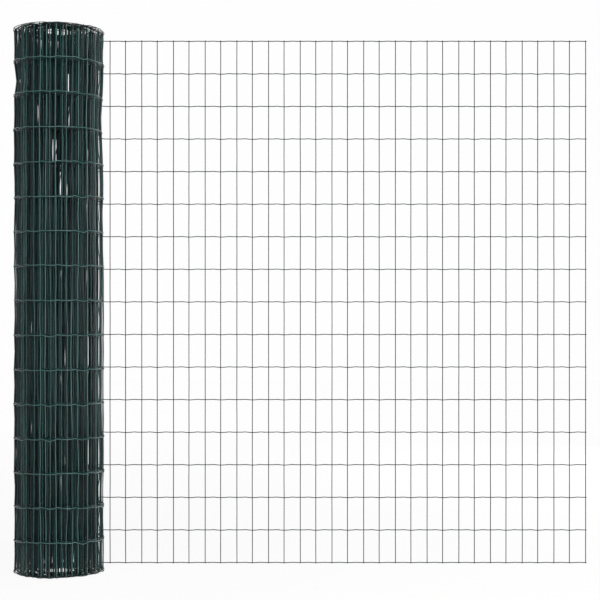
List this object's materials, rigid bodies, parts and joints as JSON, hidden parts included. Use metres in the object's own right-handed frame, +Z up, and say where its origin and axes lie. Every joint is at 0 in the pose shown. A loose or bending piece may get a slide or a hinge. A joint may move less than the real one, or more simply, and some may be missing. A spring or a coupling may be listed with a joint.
{
  "type": "roll of wire fencing",
  "caption": "Standing roll of green plastic-coated welded wire mesh fencing, wound tight, with a flat length unrolled to one side.",
  "frame": {"origin": "on the roll's axis, at the end that it stands on", "axes": "+Z up the roll's axis, +X along the unrolled stretch, +Y to the side of the roll that the stretch leaves"},
  "size_m": [1.7319, 0.27, 1.606],
  "materials": {
    "coated_wire": "dark green extruded plastic coat on steel wire"
  },
  "bodies": {
    "root": {"roll": "coated_wire", "unrolled_mesh_start": "coated_wire", "unrolled_mesh_middle": "coated_wire", "unrolled_mesh_end": "coated_wire"}
  },
  "joints": []
}
